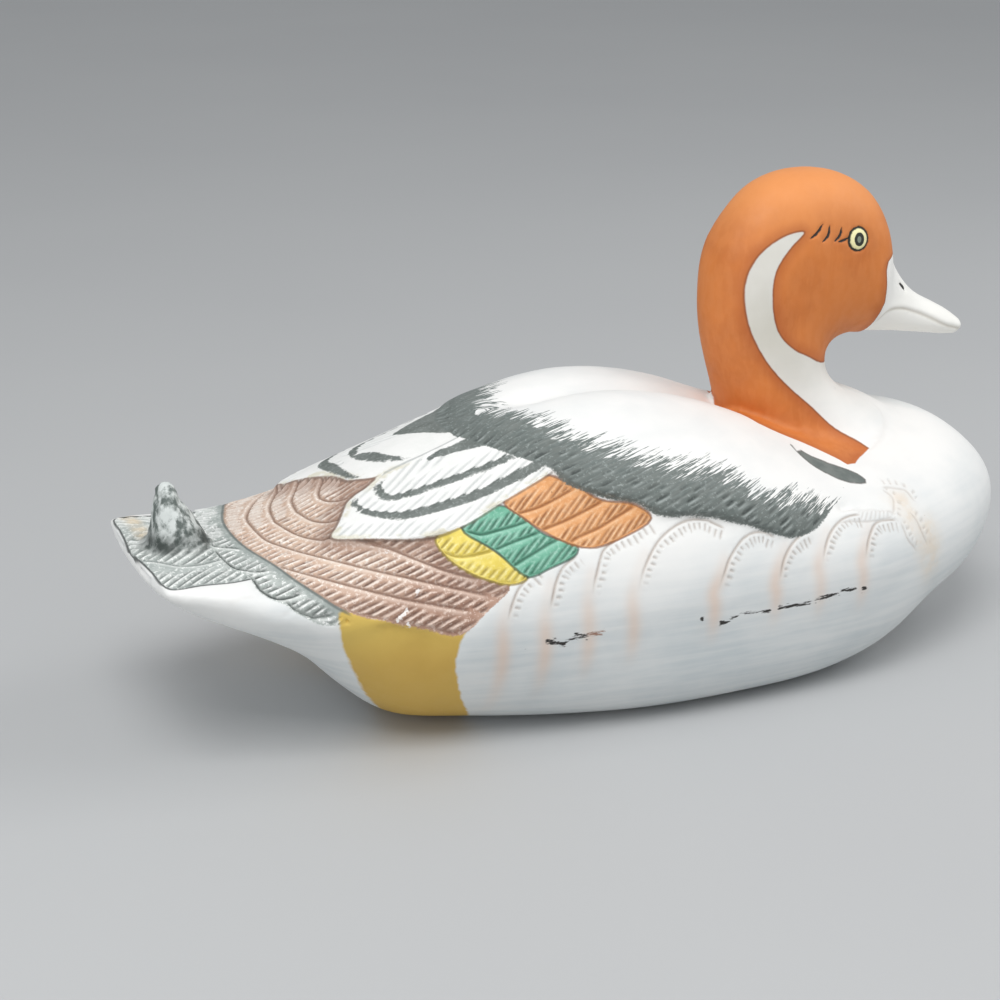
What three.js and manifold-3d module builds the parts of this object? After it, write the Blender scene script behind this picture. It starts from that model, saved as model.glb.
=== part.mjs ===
// A slip-cast bisque porcelain duck decoy, about 300 mm long, one hollow casting modelled as one solid.
// Millimetres, +X towards the bill, +Y to the duck's left, +Z up, the flat foot on Z = 0.

import * as THREE from "three";
import { mergeVertices } from "three/addons/utils/BufferGeometryUtils.js";
import Module from "manifold-3d";

const wasm = await Module();
wasm.setup();

// Driving dimensions
const TAIL_BOW = 2;
const TAIL_BOW_FROM_TO = [-150, -110];
const BACK_GROOVE_DEPTH = 4;
const BACK_GROOVE_WIDTH = 9;
const BACK_GROOVE_STARTS = [-70, 20];
const BACK_GROOVE_ENDS = [95, 125];
const COVERTS_RISE = 0.7;
const RUMP_RISE = 1.6;
const WING_BAR_RISE = 2.6;
const TERTIALS_RISE = 4;
const CAPE_RISE = 5.5;
const CAPE_FADES = [20, 90];
const FLANK_RISE = 2.6;
const FLANK_FADES = [65, 103];
const FLANK_FOOT_TO_TOP = [20, 52];
const LAYER_TUCK = 0.4;
const LAYER_SINKS = [-0.6, -0.1];
const PRISM_DEPTH = 120;
const FLOOR_BLOCK = { length: 400, width: 200, height: 40 };

// How finely the surfaces are divided
const BODY_STEPS = 44;
const BODY_SIDES = 36;
const HEAD_STEPS = 36;
const HEAD_SIDES = 24;
const CURL_STEPS = 12;
const CURL_SIDES = 12;
const OUTLINE_STEPS_PER_POINT = 2;

// Hull stations from the tail's edge to the breast, each one a cross-section:
// x, underside, back, half width, height of the widest line, roundness above and below it
const HULL = [
  [-151.5, 61, 64, 31, 63, 3, 3],
  [-149.5, 57, 64.5, 33, 62, 2.8, 2.8],
  [-138.5, 47.5, 64.5, 36, 60, 2.3, 2.4],
  [-122.5, 37.5, 62.5, 40, 56, 2.1, 2.2],
  [-106.5, 27, 65, 44, 52.5, 1.95, 2.3],
  [-94.5, 14, 69.5, 47, 49, 1.9, 2.3],
  [-80.5, 2, 75.5, 50, 45, 1.85, 2.3],
  [-60.5, -2, 82, 54, 42, 1.85, 2.35],
  [-30.5, -4, 90, 59, 40, 1.95, 2.85],
  [-0.5, -5.5, 93.5, 63, 39, 2.05, 3.15],
  [29.5, -5.5, 88, 65, 38, 2.1, 3.2],
  [59.5, -5.5, 79, 65, 38, 2.1, 3.05],
  [84.5, -1, 75, 63, 39, 2.1, 2.75],
  [104.5, 8.5, 74.5, 57, 40, 2.1, 2.3],
  [120.5, 13, 73.5, 49.5, 42, 2, 2.3],
  [134.5, 20, 69, 39.5, 44, 2, 2.45],
  [145.5, 28, 61, 28, 45, 2, 2.5],
  [151.5, 35, 54, 16, 46, 2, 2.4],
  [153.5, 45.5, 46.5, 4, 46, 2, 2],
];

// Neck, head and bill ribs, each one a plane across the middle of the bird:
// front or lower x and z, back or upper x and z, half width, roundness
const HEAD = [
  [134.5, 63, 54.5, 50, 34, 2.2],
  [120.5, 71, 57, 64, 29, 2.2],
  [108, 79, 52, 79, 22.5, 2.2],
  [95.5, 84, 46.8, 94, 19.5, 2.2],
  [89, 89.5, 43, 109, 18.5, 2.2],
  [87, 94, 42, 124, 18, 2.2],
  [88, 98.5, 43.8, 138, 18, 2.2],
  [91.5, 101.2, 51.2, 148.8, 18.2, 2.2],
  [95.5, 102, 60, 156.7, 18.8, 2.2],
  [99, 102.1, 73, 160.3, 19, 2.2],
  [101.5, 101.9, 88.5, 159, 18.7, 2.2],
  [103.5, 101.6, 100.8, 152.8, 17.5, 2.2],
  [104.5, 101.4, 107, 144, 15.2, 2.2],
  [105.3, 101.2, 109.8, 136, 12.8, 2.2],
  [106.5, 101, 111.8, 130, 10.8, 2.2],
  [113, 100.4, 117.1, 121.4, 10, 2.2],
  [121, 99.2, 124.7, 113.8, 9, 2.2],
  [130, 97.8, 133.8, 109, 8.8, 2.4],
  [137.8, 96.4, 140.9, 105, 8.2, 2.4],
  [142.3, 96.1, 144.3, 101.9, 6.4, 2.4],
  [144.8, 97.7, 145.5, 99.4, 0.01, 2],
];

// Outlines of the raised layers of plumage, drawn looking squarely at the duck's shoulder from 45 degrees up:
// x along the duck, and the height less the distance from the middle plane, over the root of two
const TAIL_COVERTS = [
  [-112.5, 66], [-131.5, 66], [-131.5, 46], [-130.5, 38], [-129.5, 30], [-125.5, 21],
  [-119.5, 12], [-110.5, 5], [-101.5, 1], [-96.5, 4], [-98.5, 20], [-104.5, 40],
];
const RUMP = [
  [-60.5, 66], [-124.5, 66], [-123.5, 46], [-122.5, 36], [-117.5, 26], [-113.5, 17],
  [-103.5, 6.5], [-90.5, 0], [-79.5, -4], [-68.5, -7.5], [-58.5, -4], [-45.5, 4],
  [-30.5, 10], [-25.5, 30], [-40.5, 50],
];
const WING_BARS = [
  [-64.5, 24], [-62.5, 15], [-54.5, 6], [-46.5, 0], [-30.5, 2], [-6.5, 6],
  [1.5, 14], [-10.5, 30], [-45.5, 34],
];
const TERTIALS = [
  [-30.5, 66], [-74.5, 66], [-81.5, 59], [-84.5, 51], [-89.5, 43], [-95.5, 36.5],
  [-100, 30.5], [-87.5, 25.5], [-74.5, 22], [-62.5, 22.5], [-48.5, 27], [-30.5, 33],
  [-15.5, 40],
];
const CAPE = [
  [94.5, 66], [-37, 66], [-41, 60.5], [-43.5, 52], [-37.5, 42], [-31.5, 35],
  [-27.5, 27], [-18.5, 20.5], [-9.5, 16], [-3.5, 11], [11.5, 8], [25.5, 3],
  [39.5, -2.5], [49.5, -1.5], [57.5, 4], [67.5, 8], [81.5, 12], [94.5, 20],
];
const FLANK = [
  [-71.5, -60], [-71.5, -14], [-68.5, -8], [-61.5, -3.5], [-55.5, 1], [-49.5, 4],
  [-36.5, 6], [-20.5, 8], [-5.5, 11], [10.5, 10], [26.5, 6], [44.5, 2],
  [59.5, 4], [79.5, 2], [91.5, 1], [99.5, -4], [103.5, -14], [103.5, -60],
];

// The curled tail feather from its root up: x, z, half width and half length
const CURL = [
  [-138.2, 61, 12, 9.6],
  [-138.4, 66, 11.4, 9],
  [-139, 70, 9.8, 7.8],
  [-140.2, 75, 8, 6.2],
  [-141.2, 80, 5.2, 4],
  [-141, 83.2, 3, 2.4],
  [-140.8, 84.8, 0.01, 0.01],
];

const { smoothstep } = THREE.MathUtils;

// One row of a table at a fractional place, on a smooth curve through its rows
function rowAt(table, place) {
  const last = table.length - 1;
  const i = Math.min(Math.floor(place), last - 1);
  const t = place - i;
  const [a, b, c, d] = [i - 1, i, i + 1, i + 2].map((k) => table[Math.min(Math.max(k, 0), last)]);
  return b.map((value, k) => {
    const inTangent = (c[k] - a[k]) / 2;
    const outTangent = (d[k] - value) / 2;
    const rise = c[k] - value;
    return (
      value +
      inTangent * t +
      (3 * rise - 2 * inTangent - outTangent) * t * t +
      (inTangent + outTangent - 2 * rise) * t * t * t
    );
  });
}

// A power that keeps its sign, which rounds or squares an ellipse
function bulge(value, roundness) {
  return Math.sign(value) * Math.abs(value) ** (2 / roundness);
}

// A closed solid skinned over rings of points, with a flat fan at each end
function skin(rings) {
  const positions = [];
  const sides = rings[0].length;
  const triangle = (a, b, c) => positions.push(...a.toArray(), ...b.toArray(), ...c.toArray());
  for (let i = 0; i + 1 < rings.length; i++) {
    for (let j = 0; j < sides; j++) {
      const k = (j + 1) % sides;
      triangle(rings[i][j], rings[i][k], rings[i + 1][k]);
      triangle(rings[i][j], rings[i + 1][k], rings[i + 1][j]);
    }
  }
  const middle = (ring) => ring.reduce((sum, p) => sum.add(p), new THREE.Vector3()).divideScalar(sides);
  const [first, end] = [rings[0], rings[rings.length - 1]];
  const [firstMiddle, endMiddle] = [middle(first), middle(end)];
  for (let j = 0; j < sides; j++) {
    const k = (j + 1) % sides;
    triangle(firstMiddle, first[k], first[j]);
    triangle(endMiddle, end[j], end[k]);
  }
  return new THREE.BufferGeometry().setAttribute("position", new THREE.Float32BufferAttribute(positions, 3));
}

// A geometry as a solid that can be joined and cut
function solidOf(geometry) {
  const bare = new THREE.BufferGeometry().setAttribute("position", geometry.getAttribute("position"));
  if (geometry.index) bare.setIndex(geometry.index);
  const merged = mergeVertices(bare, 1e-4);
  return new wasm.Manifold(
    new wasm.Mesh({
      numProp: 3,
      vertProperties: merged.attributes.position.array,
      triVerts: new Uint32Array(merged.index.array),
    }),
  );
}

// A solid back as a three.js geometry
function geometryOf(solid) {
  const mesh = solid.getMesh();
  const geometry = new THREE.BufferGeometry();
  geometry.setAttribute("position", new THREE.BufferAttribute(mesh.vertProperties, 3));
  geometry.setIndex(new THREE.BufferAttribute(mesh.triVerts, 1));
  return geometry;
}

// How deep the valley between the two folded wings is along the back, from 0 to 1
function valley(x) {
  return smoothstep(x, ...BACK_GROOVE_STARTS) * (1 - smoothstep(x, ...BACK_GROOVE_ENDS));
}

// How far the tail's edge bows out behind its two corners
function tailBow(x, y, half) {
  return TAIL_BOW * (1 - smoothstep(x, ...TAIL_BOW_FROM_TO)) * (1 - (y / half) ** 2);
}

// The hull's ring at a fractional station, where swell tells how far a point is raised
function hullRing(place, swell) {
  const [x, low, high, half, wide, above, below] = rowAt(HULL, place);
  const ring = [];
  for (let j = 0; j < BODY_SIDES; j++) {
    const turn = (2 * Math.PI * (j + 0.5)) / BODY_SIDES;
    const up = Math.sin(turn);
    const roundness = up > 0 ? above : below;
    const reach = up > 0 ? high - wide : wide - low;
    const rise = bulge(up, roundness);
    const raised = swell(x, wide + reach * rise, up);
    const y = (half + raised) * bulge(Math.cos(turn), roundness);
    let z = wide + (reach + raised) * rise;
    if (up > 0) z -= BACK_GROOVE_DEPTH * valley(x) * Math.exp(-((y / BACK_GROOVE_WIDTH) ** 2));
    ring.push(new THREE.Vector3(x - tailBow(x, y, half + raised), y, z));
  }
  return ring;
}

function hull(swell) {
  const rings = [];
  for (let i = 0; i <= BODY_STEPS; i++) rings.push(hullRing((i / BODY_STEPS) * (HULL.length - 1), swell));
  return solidOf(skin(rings));
}

// A prism through the body along the slanted direction that an outline is drawn in, for one side of the duck
function slantedPrism(outline, side) {
  const corners = outline.map(([x, up]) => new THREE.Vector3(side * x, up, 0));
  const curve = new THREE.CatmullRomCurve3(corners, true, "centripetal");
  const points = curve.getPoints(outline.length * OUTLINE_STEPS_PER_POINT).slice(1);
  const shape = new THREE.Shape(points.map((p) => new THREE.Vector2(p.x, p.y)));
  const prism = new THREE.ExtrudeGeometry(shape, { depth: PRISM_DEPTH, bevelEnabled: false });
  return prism.rotateX(Math.PI / 4).rotateZ(side > 0 ? 0 : Math.PI);
}

// A layer of plumage on both sides of the duck. It sinks into the hull below the duck's widest line.
function layer(outline, rise) {
  const raised = hull((x, z, up) => (rise(x, z) + LAYER_TUCK) * smoothstep(up, ...LAYER_SINKS) - LAYER_TUCK);
  return raised.intersect(solidOf(slantedPrism(outline, 1)).add(solidOf(slantedPrism(outline, -1))));
}

// The flank's layer stands proud of the body near its top, and fades out towards the floor and the breast
function flankRise(x, z) {
  return FLANK_RISE * (smoothstep(z, ...FLANK_FOOT_TO_TOP) - smoothstep(x, ...FLANK_FADES));
}

function body() {
  return hull(() => 0)
    .add(layer(TAIL_COVERTS, () => COVERTS_RISE))
    .add(layer(RUMP, () => RUMP_RISE))
    .add(layer(WING_BARS, () => WING_BAR_RISE))
    .add(layer(TERTIALS, () => TERTIALS_RISE))
    .add(layer(CAPE, (x) => CAPE_RISE - (CAPE_RISE + LAYER_TUCK) * smoothstep(x, ...CAPE_FADES)))
    .add(layer(FLANK, flankRise));
}

// A feather that curls up off the tail
function tailCurl() {
  const rings = [];
  for (let i = 0; i <= CURL_STEPS; i++) {
    const [x, z, half, long] = rowAt(CURL, (i / CURL_STEPS) * (CURL.length - 1));
    const ring = [];
    for (let j = 0; j < CURL_SIDES; j++) {
      const turn = (2 * Math.PI * (j + 0.5)) / CURL_SIDES;
      ring.push(new THREE.Vector3(x - long * Math.sin(turn), half * Math.cos(turn), z));
    }
    rings.push(ring);
  }
  return solidOf(skin(rings));
}

function headAndNeck() {
  const rings = [];
  for (let i = 0; i <= HEAD_STEPS; i++) {
    const [x0, z0, x1, z1, half, round] = rowAt(HEAD, (i / HEAD_STEPS) * (HEAD.length - 1));
    const ring = [];
    for (let j = 0; j < HEAD_SIDES; j++) {
      const turn = (2 * Math.PI * (j + 0.5)) / HEAD_SIDES;
      const along = 0.5 - 0.5 * bulge(Math.cos(turn), round);
      const y = half * bulge(Math.sin(turn), round);
      ring.push(new THREE.Vector3(x0 + (x1 - x0) * along, y, z0 + (z1 - z0) * along));
    }
    rings.push(ring);
  }
  return solidOf(skin(rings));
}

// Everything below the floor, which gives the casting its flat foot
function belowFloor() {
  const { length, width, height } = FLOOR_BLOCK;
  return solidOf(new THREE.BoxGeometry(length, width, height).translate(0, 0, -height / 2));
}

const duck = new THREE.Mesh(
  geometryOf(body().add(headAndNeck()).add(tailCurl()).subtract(belowFloor())),
  new THREE.MeshStandardMaterial({ color: 0xe9e4da, roughness: 0.75, metalness: 0 }),
);
duck.name = "duck_decoy";

const part = new THREE.Group();
part.add(duck);
export default part;
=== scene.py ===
"""A bisque porcelain duck decoy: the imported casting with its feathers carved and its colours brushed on.

The relief and the paint are laid out on a chart of the duck's side, seen squarely at the shoulder
from 45 degrees up. Its first number is x, along the duck, and its second is the height less the
distance from the middle plane, over the root of two. Both sides of the duck share the chart.
Where the wings cross over the tail, each wing has its own chart, which runs on past the middle.
Head and bill are laid out on x and z. All of these are millimetres.
"""

import math
from collections import namedtuple
from types import SimpleNamespace

import bpy
import numpy as np
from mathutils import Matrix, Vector, noise


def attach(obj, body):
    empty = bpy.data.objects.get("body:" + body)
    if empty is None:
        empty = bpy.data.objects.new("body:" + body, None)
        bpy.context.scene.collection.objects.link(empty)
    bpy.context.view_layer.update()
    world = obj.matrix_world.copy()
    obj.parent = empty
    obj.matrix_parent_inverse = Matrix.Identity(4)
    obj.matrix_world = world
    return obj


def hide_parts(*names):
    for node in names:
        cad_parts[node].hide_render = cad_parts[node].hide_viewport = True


bl_info = {
    "name": "Porcelain Duck Decoy",
    "version": (1, 0, 0),
    "blender": (4, 5, 0),
    "location": "3D View > Sidebar > Decoy",
    "description": "Carves, paints and stages a bisque porcelain duck decoy",
    "category": "Add Mesh",
}

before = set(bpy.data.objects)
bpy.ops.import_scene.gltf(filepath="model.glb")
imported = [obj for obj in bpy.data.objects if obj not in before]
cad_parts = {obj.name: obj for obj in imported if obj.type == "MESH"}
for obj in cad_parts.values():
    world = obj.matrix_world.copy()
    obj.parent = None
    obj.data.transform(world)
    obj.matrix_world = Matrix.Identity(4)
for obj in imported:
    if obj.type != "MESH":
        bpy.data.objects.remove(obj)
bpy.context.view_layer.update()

MM = 0.001
ROOT_2 = math.sqrt(2)
NODE = "duck_decoy"
PIECE = "bisque_decoy"
MOST_TRIANGLES = 195000

# Height of the duck's widest line along its length, as x and z
WIDEST_LINE = [
    (-153, 63), (-138, 60), (-122, 56), (-106, 52.5), (-94, 49), (-80, 45), (-60, 42), (-30, 40), (0, 39),
    (60, 38), (105, 40), (134, 44), (154, 46)
]

# The rim of the tail fan, as x and z, and the middle of the curled feather on it
TAIL_RIM = [(-154, 61.2), (-150, 61.5), (-138, 60.8), (-125, 58), (-112, 50)]
CURL = (-139, 0)

# Feathers over the tail: the fan, and the scalloped row that lies on it
FAN = [
    (-118, 66), (-151.6, 66), (-151.6, 32), (-151, 25), (-149.2, 22.9), (-140, 22.9), (-128, 22.6),
    (-122, 24), (-120, 40)
]
FAN_EDGE = [(-162, 25), (-156, 23.4), (-150.8, 22.9), (-140, 22.9), (-128, 22.6), (-118, 22.6)]
FAN_QUILL = [(-160, 44), (-148.5, 37.4), (-143.3, 33.6), (-138.8, 32.7), (-134.6, 33.1), (-126, 35)]
COVERTS = [
    (-122, 66), (-131, 66), (-131, 50), (-130.3, 41.5), (-129.8, 34), (-128.6, 28.8), (-125.8, 24.5),
    (-124.9, 18), (-122, 14), (-118.8, 11.8), (-116.3, 8.8), (-112, 5.8), (-108, 3), (-105.8, 1.1),
    (-103, 0.2), (-101, 2.2), (-102.5, 6), (-112.5, 18), (-116.5, 27), (-120.5, 37), (-121.5, 46)
]
COVERT_TIPS = [
    [(-130.5, 50), (-130.2, 44), (-129.6, 41.5), (-125.8, 39.5), (-121, 36.5)],
    [(-129.9, 40.5), (-129.5, 33.8), (-128.2, 29.3), (-125.3, 26.8), (-122.2, 25.4), (-117, 25.2)],
    [
        (-127, 26.5), (-124.9, 21.8), (-124.4, 18.2), (-121.8, 14.7), (-118.8, 13.5), (-114.8, 13.8),
        (-111.5, 15)
    ],
    [(-119.5, 13), (-118.3, 12), (-116.1, 9.2), (-111.8, 6.4), (-107.3, 5.7), (-104, 5.6)],
    [(-108, 4), (-107.6, 3.2), (-105.7, 1.7), (-103.1, 0.9), (-101.7, 2.5), (-103.1, 5.4)],
]

# The brown rump and its long feathers, and the yellow patch under it, which is on x and z
RUMP_SIDE = [(-121.5, 46), (-120.5, 37), (-116.5, 27), (-112.5, 18), (-103, 6.4), (-90, 0), (-79, -4)]
RUMP = [
    (-60, 70), (-122, 66), *RUMP_SIDE, (-68.5, -7.5), (-61, -3.7), (-53, 1.5), (-57, 8), (-64, 22),
    (-75, 26), (-90, 34), (-86, 42), (-74, 52)
]
RUMP_QUILLS = [
    [(-122, 56), *RUMP_SIDE, (-68, -8)],
    [(-117, 27.5), (-112, 22.6), (-100, 13.6), (-86, 5.9), (-65, -2.7)],
    [
        (-116, 58), (-114.8, 47), (-114, 39), (-111.2, 34.3), (-106, 28.3), (-94, 18.3), (-79, 9.7),
        (-59, 0.1)
    ],
    [(-109, 58), (-108, 47), (-105.4, 37.9), (-101, 32.6), (-86, 23.3), (-78, 16.4), (-70, 10.3), (-60, 5)],
    [(-102, 58), (-100.4, 45.9), (-99.1, 41.6), (-96.2, 38.6), (-91, 36)],
    [(-94, 58), (-92.5, 48.5), (-90, 46), (-86, 44.5)],
]
VENT = [
    (-103.3, 54), (-104, 48), (-102.8, 42), (-97.1, 29), (-92, 19), (-86.3, 11), (-80, 2), (-78, -6),
    (-54, -6), (-56, 0), (-58.5, 5), (-65.5, 17), (-68.7, 26), (-70.2, 34), (-68.6, 42), (-64, 54)
]

# The folded wings: long white feathers with two grey stripes and a grey leaf. The near wing lies on the
# far one, whose feathers show past the middle. A stripe is its middle line, and its half width along that.
WING_FOOT = [(-98.4, 30.8), (-87.5, 26), (-74.5, 22), (-62.5, 22.5), (-48.5, 27), (-30.5, 33)]
TERTIALS = [
    (-15.5, 40), (-30, 50), (-38, 57), (-46, 56.5), (-54.2, 54.2), (-63.2, 52.1), (-67.9, 51.3),
    (-77.6, 48.7), (-82.3, 46.1), (-88.4, 43.4), (-91.6, 39.4), (-94.9, 35), *WING_FOOT
]
FAR_TERTIALS = [
    (-15.5, 40), (-30, 50), (-40, 58), (-41, 72), (-60, 72), (-73.6, 64.8), (-79.1, 62.3), (-83.3, 58.2),
    (-85.3, 50.9), (-87.8, 45.5), (-93.4, 36.9), *WING_FOOT
]
TERTIAL_EDGE = [(-101, 31.5), *WING_FOOT[1:], (-12, 42)]
Stripe = namedtuple("Stripe", "line widths")
STRIPE_END = [(-60.8, 39.2), (-53.2, 39.9), (-42, 41.2), (-32, 43)]
STRIPES = [
    Stripe(
        [
            (-86, 43.6), (-87.8, 40.8), (-87.5, 38), (-85.3, 35.2), (-82.4, 33.3), (-77.3, 31.2),
            (-65.5, 30.8), (-53.9, 31.5), (-43.5, 33.8), (-33, 36.5), (-22, 40)
        ],
        [(0, 0.8), (4, 1.5), (10, 1.8), (25, 1.9), (60, 2)],
    ),
    Stripe(
        [
            (-62, 52.2), (-68.5, 51.1), (-73.7, 49.3), (-76.9, 47.1), (-79.2, 45.1), (-80.1, 42.2),
            (-79.2, 39.8), (-77.3, 38.6), (-71.7, 38.4), *STRIPE_END
        ],
        [(0, 0.3), (12, 0.3), (16, 0.8), (19, 1.4), (22, 1.9), (27, 1.6), (60, 1.6)],
    ),
]
FAR_STRIPES = [
    Stripe(
        [
            (-80.9, 60.6), (-82.6, 57.6), (-83.7, 52.3), (-84.6, 46), (-85, 41), (-83.5, 37), (-80.5, 34),
            (-76, 31.8), (-65.5, 30.8), (-53.9, 31.5), (-43.5, 33.8), (-22, 40)
        ],
        [(0, 0.4), (5, 1), (10, 1.3), (17, 2.2), (30, 1.9), (60, 2)],
    ),
    Stripe(
        [
            (-63.5, 66.5), (-67.5, 64), (-72, 59.7), (-74.5, 54.8), (-76.6, 50.6), (-76.4, 45.8), (-74, 42),
            (-70, 39.6), *STRIPE_END
        ],
        [(0, 0.3), (5, 1), (11, 1.9), (16, 2.8), (21, 2.3), (26, 1.7), (40, 1.6)],
    ),
]
LEAF = [
    (-64.6, 49.9), (-59.7, 51.8), (-54.2, 53), (-46, 55), (-38, 56), (-38, 50), (-44.2, 48.5), (-47.1, 48.6),
    (-52, 49.1), (-59.6, 49.5)
]
FAR_LEAF = [
    (-63.2, 49.4), (-58, 46.5), (-50, 45), (-38, 48), (-38, 66), (-50.9, 65.6), (-54.8, 61.9), (-59.2, 56.3)
]

# The green, yellow and orange patch on the wing
ORANGE_BARS = [
    (-48, 27.3), (-33, 32.1), (-28, 28), (-20, 19.9), (-11, 16.1), (-6.5, 10.8), (-21, 6.5), (-27, 6.4),
    (-31, 8), (-36, 11.4), (-40, 15.2), (-44, 20.6)
]
ORANGE_QUILLS = [
    [(-36, 5), (-27, 6), (-21, 6), (-3, 10.5)],
    [(-34, 8.5), (-31, 10), (-23.2, 11.5), (-15.5, 13.9), (-6, 17)],
    [(-44, 15), (-40, 15.2), (-33.4, 16), (-25.4, 17.8), (-14, 21)],
    [(-48, 22.4), (-45, 22.2), (-37.8, 22.6), (-28.7, 25), (-18, 28)],
]
GREEN_BARS = [
    (-62.4, 22), (-58, 25.5), (-50, 26.5), (-45, 22), (-40, 14), (-36, 11.2), (-31, 8.2), (-31.5, 5.9),
    (-41, 3.5), (-47.4, 2.8), (-55, 12.7)
]
GREEN_QUILLS = [
    [(-53, 2), (-49, 2.4), (-41, 3.1), (-28, 6)],
    [(-54, 5), (-51, 6.6), (-44.6, 8.7), (-37.2, 10.9), (-30, 12)],
    [(-59, 12), (-56, 12.6), (-49.6, 13.7), (-41.2, 14.7), (-35, 16)],
    [(-63, 21), (-60.5, 20.2), (-57.5, 18.6), (-53, 18.5), (-45.3, 18.8), (-38, 20)],
]
YELLOW_BARS = [
    (-70.3, 21.5), (-64, 23.5), (-62.6, 22), (-55.4, 12.5), (-47.6, 2.7), (-52, 1.7), (-59, 4.9), (-65, 9.5),
    (-69, 14.7)
]
YELLOW_QUILLS = [
    [(-73, 20), (-69, 14.2), (-65, 9.1), (-59, 4.5), (-46, 0)],
    [(-73, 19), (-69.5, 16.4), (-65.9, 13.9), (-61.2, 12.9), (-50, 13)],
]

# The slate band brushed along the cape's edge, how its strokes rise along the duck, and a leaf by the neck
BAND = [
    (-57, 72), (-30, 72), (-27, 60), (-20, 49.1), (-12, 41), (-4, 37), (4, 32), (10, 29), (17, 28), (24, 26),
    (31, 19), (40, 14), (48, 14), (56, 11), (62, 7), (54, 2.2), (47, -1.9), (39, -3), (24, 2.4), (10, 7.4),
    (-5, 10.4), (-11, 15.7), (-20, 20), (-28, 26.8), (-32, 34), (-38.5, 40.8), (-44.4, 47.4), (-50.5, 55.5),
    (-51.5, 60)
]
BAND_TOP = [
    (-39, 76), (-35.6, 66), (-31.5, 61), (-28, 56.5), (-24.5, 51), (-20.7, 44.5), (-15.8, 40), (-8, 34),
    (2, 27.5), (9, 24.5), (16, 24), (22, 21.5), (28, 16), (36, 11), (45, 10.5), (52, 7.9), (64, 3)
]
BAND_FOOT = [
    (-54, 72), (-51, 60), (-50.2, 55.5), (-46.5, 50.5), (-44.2, 47.5), (-40, 42.2), (-35.9, 38.1),
    (-31.4, 33.6), (-28, 27), (-19, 20.2), (-10, 15.8), (-4, 10.8), (11, 7.6), (25, 2.6), (39, -2.8),
    (48, -1.8), (56, 3)
]
STROKE_RISE = [
    (-60, 0.75), (-50, 0.65), (-40, 0.4), (-30, 0.2), (-10, 0.24), (20, 0.4), (50, 0.6), (90, 0.7)
]
NECK_LEAF = [
    (57.7, 32.7), (62.2, 26.7), (70.3, 21.8), (77.3, 17.3), (78.7, 13.8), (71.7, 14.1), (64.5, 18.1),
    (58.7, 24.7)
]

# Scalloped feathers along the flank, each from the top of its edge down
SCALLOPS = [
    [(-44, 4.4), (-47.3, 2.4), (-51, -0.1), (-53.3, -3.4), (-54.4, -5.6), (-55.3, -7.9)],
    [(-31, 5.4), (-36.8, 2.6), (-39.6, -1.1), (-41.3, -5.1), (-42.5, -8.2)],
    [(-6.2, 10.4), (-14, 8.2), (-20.3, 6.3), (-23.5, 4.6), (-26.6, -1), (-28.1, -4.3), (-29, -7.7)],
    [
        (17.2, 3.2), (14.3, 5.1), (10.6, 7.1), (4.9, 7.9), (-0.8, 6.5), (-6, 3.6), (-9.2, 0.4),
        (-12.1, -3.5), (-14.9, -9)
    ],
    [(33.9, -2.3), (30.4, 0), (26.9, 0.7), (22.2, -0.6), (16.4, -5.6), (14, -9.5), (11.7, -13.5)],
    [(47.2, -1.7), (41.7, -3.2), (38.4, -5.4), (35.4, -8.9), (33.2, -14.7)],
    [(68.5, 1.4), (65.3, 1.6), (60.1, 0.5), (54.9, -2.8), (51.7, -6.8), (49.5, -11.8)],
    [(82.5, -1.8), (78, -1.4), (73.7, -1.9), (71.3, -3.5), (68.1, -7.8), (66, -13.2)],
]
CHEST_MARKS = [
    [(82.8, 11), (86.3, 10.6), (89.7, 9.7), (92.2, 8.7), (93.5, 5.2), (94.9, 3.1)],
    [(82.8, 10.7), (85.5, 6.7), (84.7, 4.4), (82.3, 1.2), (79.8, -0.8)],
    [(83.6, -2.1), (84.3, -5.1), (85.2, -8.2), (87.3, -10.1), (89.7, -11.9)],
    [(89.4, 1.2), (91.3, -2.4), (92.5, -6.4), (94, -9), (94.5, -10.8)],
]
CHEST_STAINS = [[(88, 5), (90, -3), (93, -9)], [(96.5, -5), (97, -10), (96, -14)]]
BREAST_LINE = [(101.8, 48.2), (104.4, 43.6), (102.1, 37.1), (96.5, 31.1), (88, 26.4)]
SHOULDER_LINE = [(58.5, -0.4), (62.7, -0.3), (69.8, -1.2), (77.7, -1), (80.3, -0.5)]
UNDERTAIL_LINES = [[(-136, 15), (-130, 16), (-125.7, 15.7)], [(-122.3, 8.4), (-119, 9.3), (-116.5, 9)]]

# Marks of use on the near side only: black and brown scuffs above the foot, chips in the brown and specks
BASE_SCUFFS = [
    [(-34.9, -14.9), (-30.2, -16.1)], [(-43.2, -14.5), (-40.5, -14.9)], [(-41.6, -15.3), (-36.6, -16.6)],
    [(-49.9, -14.6), (-48.2, -15)], [(6.1, -18.6), (7, -19)], [(13.5, -20.8), (16.4, -21.1)],
    [(19.9, -19.8), (22.6, -20.1)], [(23.5, -20.6), (30.3, -20.5)], [(33.8, -20.4), (42.6, -20.8)],
    [(43.4, -20.8), (45.7, -20.8)], [(47.2, -20.6), (57.6, -19.7)], [(59.5, -19.7), (62.4, -19.4)],
    [(65.2, -19.6), (66.4, -19.9)]
]
BROWN_SCUFFS = [[(-30.3, -15.7), (-25.3, -16.1)], [(-38, -16.4), (-35.5, -17)]]
CHIPS = [
    [(-87.5, 0.1), (-85.5, 1.3)], [(-84.5, -1.6), (-84.4, -2.2)], [(-84.6, 1.8), (-84.2, 3.6)],
    [(-80.6, 6.3), (-79.6, 7)], [(-85.3, 21), (-84.9, 21.2)]
]
SPECKS = [
    [(96, -0.6), (96.2, -0.5)], [(120.4, -11.2), (120.5, -11.2)], [(73, -18.2), (73.2, -18.2)],
    [(67.5, 12.5), (67.6, 12.5)]
]

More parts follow.
